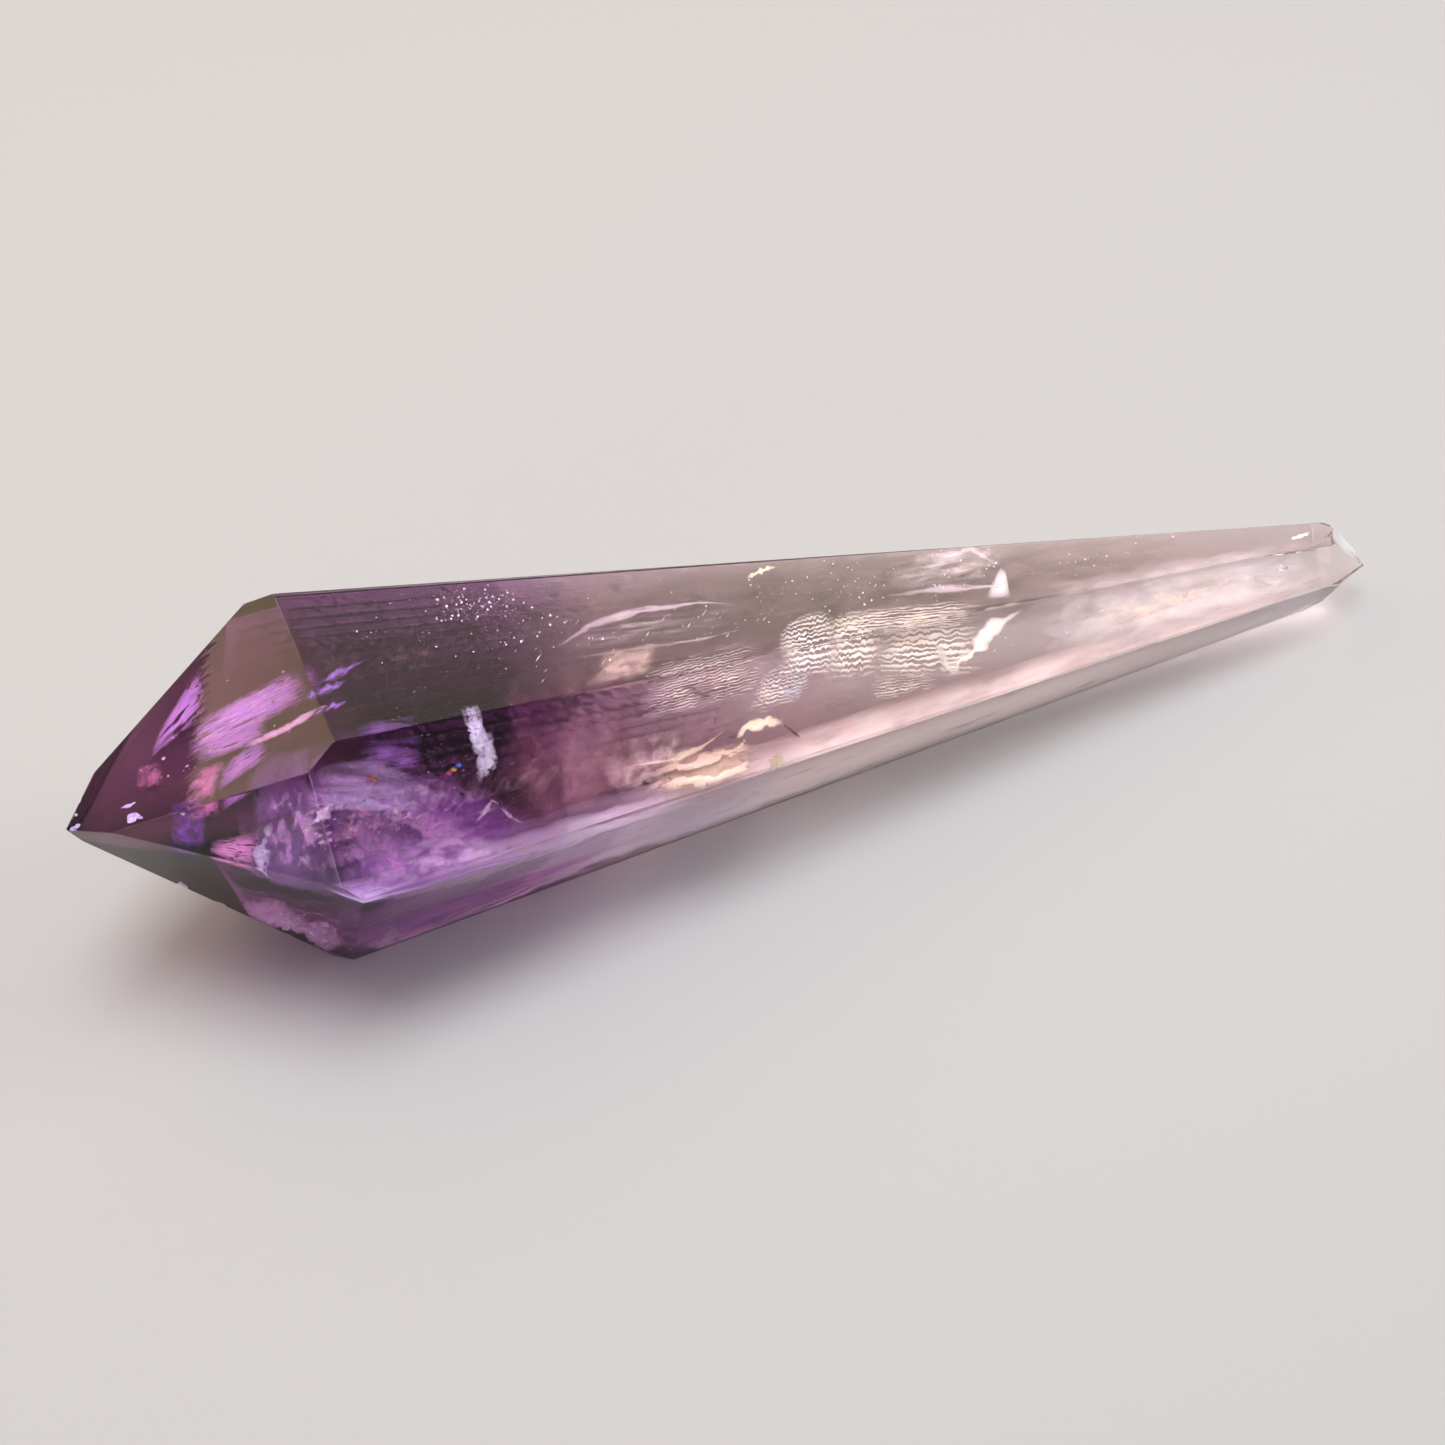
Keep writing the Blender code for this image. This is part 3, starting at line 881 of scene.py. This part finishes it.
def make_ripples():
    """Silvery healed fractures with fine ripples along the stone, and their bright edges."""
    silver = veil("silver_lines", ((0.90, 0.84, 0.84), CREAM), (3, 2), fill=0.72, contrast=5, torn=3,
                  sharp=4, strength=0.85, roughness=0.35, ripples=5.0, seed=20)
    sheet("silver_lines", leaning(0.001, 0.005), silver, 30)
    prints = veil("fingerprint", ((1.0, 0.93, 0.76), WHITE), (1.6, 2), fill=0.95, contrast=6, torn=4,
                  sharp=5, roughness=0.25, ripples=3.8, seed=21)
    sheet("fingerprint_low", leaning(0.001, 0.005), prints, 31)
    sheet("fingerprint_high", leaning(0.001, 0.005), prints, 32)
    blue = veil("blue_print", ((0.72, 0.82, 1.0), WHITE), (2, 2), fill=0.9, contrast=6, torn=4,
                sharp=5, roughness=0.25, ripples=3.4, seed=21.5)
    sheet("blue_print", leaning(0.0008, 0.003), blue, 48)
    streaks = veil("cream_streaks", ((1.0, 0.92, 0.74), (1.0, 0.96, 0.92)), (2, 3), fill=0.85, contrast=6,
                   torn=4, sharp=5, roughness=0.3, ripples=3.2, seed=22)
    sheet("cream_streaks_left", leaning(0.001, 0.005), streaks, 33)
    sheet("cream_streaks_right", leaning(0.001, 0.005), streaks, 86)
    fine = veil("fine_streaks", ((0.92, 0.86, 0.84), CREAM), (4, 3), fill=0.72, contrast=6, torn=3,
                sharp=5, strength=0.8, roughness=0.3, ripples=2.6, seed=22.5)
    sheet("fine_streaks", leaning(0.001, 0.003), fine, 49)
    sheet("fine_streaks_low", leaning(0.001, 0.003), fine, 87)
    satin = veil("angular_veil", (WHITE, (1.0, 0.90, 0.76)), (14, 3),
                 fill=0.85, contrast=6, torn=1.6, sharp=6, seed=23)
    ribbon("angular_veil", 19, 0.0012, satin, 34, ragged=0.8, rise=0.002)
    wedge = veil("wedge_veil", (WHITE, (0.85, 0.82, 0.90)), (2, 2),
                 fill=0.8, contrast=6, torn=1.2, sharp=4, strength=0.9, seed=24)
    sheet("wedge_veil", 0.003, wedge, 35)


def make_body_inside():
    """Cream flakes, wisps and clouds seen through the long facets, with dark films of painted shade and a
    painted glint.
    """
    cream_and_glint = veil("cream_patch", ((1.0, 0.93, 0.74), (0.98, 0.78, 0.56)), (5, 4),
                 fill=0.85, contrast=12, torn=2.6, sharp=12, seed=25)
    swirl = veil("cream_swirl", ((1.0, 0.94, 0.76), (1.0, 0.82, 0.58)), (4, 3),
                 fill=0.80, contrast=9, torn=4, sharp=6, ripples=0.7, seed=40)
    sheet("cream_patch", leaning(0.0008, 0.005), swirl, 36, rumple=0.0012, grid=(16, 48))
    backing = veil("cream_backing", ((0.98, 0.84, 0.60), (0.80, 0.60, 0.42)), (5, 4),
                   fill=0.8, contrast=9, torn=4, sharp=4, seed=41)
    sheet("cream_backing", leaning(0.0014, 0.0056), backing, 36, rumple=0.0012, grid=(16, 48))
    ribbon("cream_arc", 9, 0.0008, cream_and_glint, 37, ragged=0.9, rise=0.001)
    ribbon("cream_stem", 6, 0.001, cream_and_glint, 54, ragged=0.8)
    ribbon("cream_wisp", 5, 0.001, cream_and_glint, 38, ragged=0.9)
    ribbon("brown_needle", 3, 0.003, fleck_finish("brown_needle", (0.25, 0.13, 0.12)), 39)
    ribbon("small_flake", 9, 0.0003, cream_and_glint, 40, ragged=0.5, rise=0.001)
    wisps = veil("pale_wisps", ((0.95, 0.80, 0.85), WHITE), (5, 6),
                 fill=0.6, contrast=4, torn=2, strength=0.6, seed=26)
    sheet("top_wisps", 0.004, wisps, 41, rumple=0.001)
    sheet("top_veins", 0.004, wisps, 42, rumple=0.001)
    line = veil("wisp_edge", ((0.85, 0.80, 0.88), (0.8, 0.65, 0.75)), (9, 1),
                fill=0.75, contrast=4, torn=2, strength=0.55, seed=26.5)
    ribbon("wisp_edge", 7, 0.003, line, 55, ragged=0.8)
    ribbon("wisp_edge_low", 5, 0.003, line, 56, ragged=0.8)
    ribbon("pink_vein", 5, 0.003, line, 57, ragged=0.9)
    ribbon("pink_vein_high", 5, 0.003, line, 58, ragged=0.9)
    rosy = veil("pink_cloud", ((0.78, 0.70, 0.80), (1.0, 0.94, 0.90)), (6, 3),
                fill=0.75, contrast=3.5, torn=2, sharp=4, strength=0.6, seed=27)
    sheet("pink_cloud", (0.002, 0.006, 0.004, 0.001), rosy, 43, rumple=0.001, grid=(12, 48))
    glow = veil("cream_cloud", (CREAM, (1.0, 0.86, 0.76)), (5, 3),
                fill=0.64, contrast=4, torn=3, sharp=2.5, strength=0.8, seed=27.5)
    sheet("cream_cloud_right", 0.003, glow, 59)
    sheet("cream_cloud_left", 0.004, glow, 60)
    body = veil("body_cloud", ((0.62, 0.50, 0.56), (0.80, 0.66, 0.68)), (6, 4),
                fill=0.72, contrast=2.5, torn=1.3, sharp=2, strength=0.6, seed=28)
    sheet("body_cloud", 0.011, body, 44, rumple=0.0015, grid=(16, 64))
    # Dark films under the upper facets: painted shade.
    dark = veil("top_painted_shade", ((0.08, 0.06, 0.05), (0.26, 0.20, 0.19)), (9, 3),
                fill=0.95, contrast=3, torn=1.5, sharp=4, strength=0.8, seed=28.5)
    sheet("top_painted_shade", 0.006, dark, 61, rumple=0.0015, grid=(16, 64))
    upper_shade = veil("upper_painted_shade", ((0.05, 0.04, 0.035), (0.12, 0.09, 0.08)), (6, 3),
                 fill=0.85, contrast=2.5, torn=2, sharp=4, strength=0.55, seed=38)
    sheet("upper_painted_shade", 0.003, upper_shade, 88, rumple=0.001, grid=(16, 48))
    margin = veil("rose_margin", ((0.90, 0.66, 0.68), (0.95, 0.84, 0.80)), (10, 2),
                  fill=0.85, contrast=2.5, sharp=5, strength=0.75, seed=35)
    sheet("rose_margin", (0.0008, 0.005, 0.002, 0.0006), margin, 65, grid=(12, 64))
    # A maroon film behind the front facet: painted shade.
    maroon = veil("maroon_front", ((0.26, 0.12, 0.10), (0.64, 0.48, 0.42)), (4, 3),
                  fill=0.78, contrast=2.5, torn=1.5, sharp=1.5, strength=0.75, seed=29)
    sheet("maroon_front", leaning(0.004, 0.010), maroon, 45, rumple=0.002, grid=(16, 32))
    peach = veil("top_cream", ((0.90, 0.72, 0.56), (0.75, 0.56, 0.50)), (3, 3),
                 fill=0.72, contrast=3, torn=1.5, sharp=1.6, strength=0.6, seed=43)
    sheet("top_cream", 0.002, peach, 46)
    # The top glint: a painted glint in the same finish as the flakes.
    ribbon("top_glint", 9, 0.001, cream_and_glint, 47, ragged=0.8)


def make_satin():
    """Long satin streaks along the lower front facet, magenta by the broad end and pale beyond, with a
    painted glow and painted glints along the rim.
    """
    dark = veil("satin_violet", ((0.98, 0.45, 0.95), (0.55, 0.28, 0.78)), (3, 6),
                fill=0.72, contrast=5, sharp=5, strength=0.9, seed=30)
    sheet("satin_violet", (0.002, 0.009, 0.008, 0.002), dark, 50, rumple=0.0003, grid=(10, 64))
    light = veil("satin_pale", (WHITE, (0.90, 0.82, 0.95)), (4, 7),
                 fill=0.85, contrast=6, sharp=7, roughness=0.35, seed=31)
    sheet("satin_pale_left", (0.0006, 0.006, 0.005, 0.0006), light, 51, rumple=0.0002, grid=(10, 64))
    rosy = veil("satin_rose", ((1.0, 0.90, 0.90), (1.0, 0.97, 0.93)), (8, 5),
                fill=0.88, contrast=4, sharp=7, roughness=0.4, seed=32)
    sheet("satin_pale_right", (0.0006, 0.007, 0.001, 0.0004), rosy, 52, rumple=0.0002, grid=(10, 96))
    pink = veil("satin_pink", ((1.0, 0.50, 0.85), (0.95, 0.75, 0.90)), (3, 4),
                fill=0.66, contrast=5, sharp=4, strength=0.9, seed=34)
    ribbon("satin_pink", 16, 0.0006, pink, 62, ragged=0.6, rise=0.003)
    # A painted glow along the lower rim, with painted glints.
    rim = veil("rim_glow", ((1.0, 0.60, 0.94), (1.0, 0.90, 1.0)), (14, 3),
               fill=0.82, contrast=4, torn=2.5, sharp=4, seed=33)
    rim_sparks = fleck_finish("rim_sparks", (1.0, 0.82, 0.98))
    specks("rim_sparks", 60, 3.4, (0.0003, 0.002), rim_sparks, 91, stretch=2.0, lean=22)
    ribbon("rim_glow", 28, 0.0004, rim, 53, ragged=0.6, rise=0.005)
    ribbon("rim_glow_right", 20, 0.0004, rim, 89, ragged=0.7, rise=0.004)
    silver = veil("satin_silver", (WHITE, (0.92, 0.88, 1.0)), (9, 3),
                  fill=1.05, contrast=6, torn=1.5, sharp=6, seed=42)
    ribbon("satin_silver", 17, 0.0004, silver, 90, ragged=0.6, rise=0.003)
    ribbon("satin_silver_low", 20, 0.0004, silver, 92, ragged=0.6, rise=0.003)


# Nicks, painted highlights, wear and dust

def make_nicks_and_highlights():
    """Bright bruises with painted glints at the chips of the broad point, and painted glare and highlights
    on the worn slim one.
    """
    # White and lilac finishes for chip bruises, some of them with a painted glint.
    glint = fleck_finish("nick_white", WHITE, 0.3)
    nick_and_highlight("tip_nick", 6, 0.0003, glint, 70, 12)
    lilac = fleck_finish("nick_lilac", (0.72, 0.68, 1.0), 0.3)
    nick_and_highlight("tip_nick_low", 5, 0.0003, lilac, 71, 12)
    nick_and_highlight("arris_nick", 6, 0.0004, lilac, 72)
    nick_and_highlight("arris_nick_white", 4, 0.0003, glint, 73)
    nick_and_highlight("arris_streak", 3, 0.0004, lilac, 74)
    # A white film on the slim point's worn facet: painted glare.
    glare_finish = veil("slim_glare", (WHITE, WHITE), (2, 2),
                   fill=1.1, contrast=4, sharp=8, roughness=0.4, seed=39)
    glare_film("slim_glare", glare_finish)
    # Painted highlights on the slim point.
    nick_and_highlight("slim_shine", 5, 0.0003, glint, 77)
    nick_and_highlight("slim_spark", 5, 0.0003, glint, 78)
    nick_and_highlight("rim_nick", 5, 0.0004, glint, 75)


def make_dust():
    """Specks of dust and fine scores on the upper facets."""
    dust = fleck_finish("dust", (1.0, 0.98, 0.95), 0.7)
    skin = (SKIN, SKIN)
    specks("dust_patch", 150, 2.2, skin, dust, 63)
    specks("dust_left", 170, 1.8, skin, dust, 60)
    specks("dust_right", 260, 1.7, skin, dust, 61)
    specks("dust_front", 130, 1.5, skin, dust, 62)
    specks("dust_scores", 40, 1.0, skin, dust, 64, stretch=7.0, lean=-55)


# Stage

FLOOR_SIZE = 6.0
FLOOR_COLOUR = (0.45, 0.45, 0.455, 1.0)
FLOOR_ROUGHNESS = 0.75
ROOM_COLOUR = (0.9, 0.93, 1.0, 1.0)
ROOM_STRENGTH = 0.22

# Lamps: where each one is, its two sides, its radiance and its colour
LAMPS = {
    "soft_box": ((-0.05, 0.10, 0.80), (0.55, 0.40), 9.0, (0.98, 0.98, 1.0)),
    "top_panel": ((0.51, 0.64, 0.58), (1.1, 0.8), 0.65, (1.0, 0.84, 0.68)),
    "front_panel": ((-0.42, -0.60, 0.16), (0.8, 0.25), 2.4, (1.0, 0.96, 0.94)),
    "end_panel": ((0.62, -0.10, 0.42), (0.3, 0.3), 6.0, (1.0, 0.98, 0.96)),
}
TIP_PANEL_DISTANCE = 0.9
TIP_PANEL_SIZE = (0.5, 1.1)
TIP_PANEL_RADIANCE = 1.9
TIP_PANEL_COLOUR = (1.0, 0.72, 0.42)


def make_floor():
    """A plain pale floor under the stone."""
    bpy.ops.mesh.primitive_plane_add(size=FLOOR_SIZE)
    floor = bpy.context.object
    floor.name = "floor"
    material, _, shader = new_material("pale_floor")
    shader.inputs["Base Color"].default_value = FLOOR_COLOUR
    shader.inputs["Roughness"].default_value = FLOOR_ROUGHNESS
    floor.data.materials.append(material)


def area_light(name, place, size, radiance, colour):
    """A soft rectangular lamp that faces the stone; power = radiance * pi * area."""
    data = bpy.data.lights.new(name, "AREA")
    data.shape = "RECTANGLE"
    data.size, data.size_y = size
    data.energy = radiance * math.pi * size[0] * size[1]
    data.color = colour
    light = bpy.data.objects.new(name, data)
    turn = (-Vector(place)).to_track_quat("-Z", "Y").to_matrix().to_4x4()
    light.matrix_world = Matrix.Translation(place) @ turn
    bpy.context.scene.collection.objects.link(light)
    return light


def mirrored(px, py, distance):
    """Where the sight line of a photo pixel ends when the facet that it meets mirrors it."""
    facet = facet_at(px, py)
    normal, way, eye = FACET_NORMALS[facet], sight_lines(px, py), np.array(CAMERA_PLACE)
    touch = eye + (FACET_OFFSETS[facet] - normal @ eye) / (way @ normal) * way
    return Vector(touch + distance * (way - 2 * (way @ normal) * normal))


def make_tip_panel():
    """A warm panel whose mirror image on the broad point ends along a line seen in the photograph."""
    high = mirrored(*PANEL_EDGE_HIGH, TIP_PANEL_DISTANCE)
    low = mirrored(*PANEL_EDGE_LOW, TIP_PANEL_DISTANCE)
    upright = (high - low).normalized()
    inner = mirrored(*PANEL_MIDDLE, TIP_PANEL_DISTANCE) - (high + low) / 2
    aside = (inner - inner.dot(upright) * upright).normalized()
    middle = (high + low) / 2 + aside * TIP_PANEL_SIZE[0] / 2
    light = area_light("tip_panel", middle, TIP_PANEL_SIZE, TIP_PANEL_RADIANCE, TIP_PANEL_COLOUR)
    facing = aside.cross(upright)
    if facing.dot(middle) < 0:
        aside, facing = -aside, -facing
    axes = Matrix((aside, upright, facing)).transposed().to_4x4()
    light.matrix_world = Matrix.Translation(middle) @ axes


def make_lights():
    """A soft box overhead, panels that the facets mirror, and a dim room."""
    for name, (place, size, radiance, colour) in LAMPS.items():
        area_light(name, place, size, radiance, colour)
    make_tip_panel()
    world = bpy.data.worlds.new("room")
    world.use_nodes = True
    world.node_tree.nodes["Background"].inputs["Color"].default_value = ROOM_COLOUR
    world.node_tree.nodes["Background"].inputs["Strength"].default_value = ROOM_STRENGTH
    bpy.context.scene.world = world


def render_wishes():
    """Light paths long enough for a clear stone, and a plain view."""
    scene = bpy.context.scene
    scene.cycles.max_bounces = 14
    scene.cycles.transmission_bounces = 14
    scene.cycles.transparent_max_bounces = 24
    scene.cycles.glossy_bounces = 6
    scene.cycles.diffuse_bounces = 3
    scene.cycles.volume_bounces = 0
    scene.cycles.sample_clamp_indirect = 6.0
    scene.cycles.blur_glossy = 0.3
    scene.cycles.use_denoising = True
    scene.view_settings.view_transform = "Standard"


make_camera()
make_floor()
make_lights()
render_wishes()
stone.data.materials.clear()
stone.data.materials.append(stone_finish())
make_zones()
make_tip_streaks()
make_lilac_patch()
make_glints()
make_ripples()
make_body_inside()
make_satin()
make_nicks_and_highlights()
make_dust()
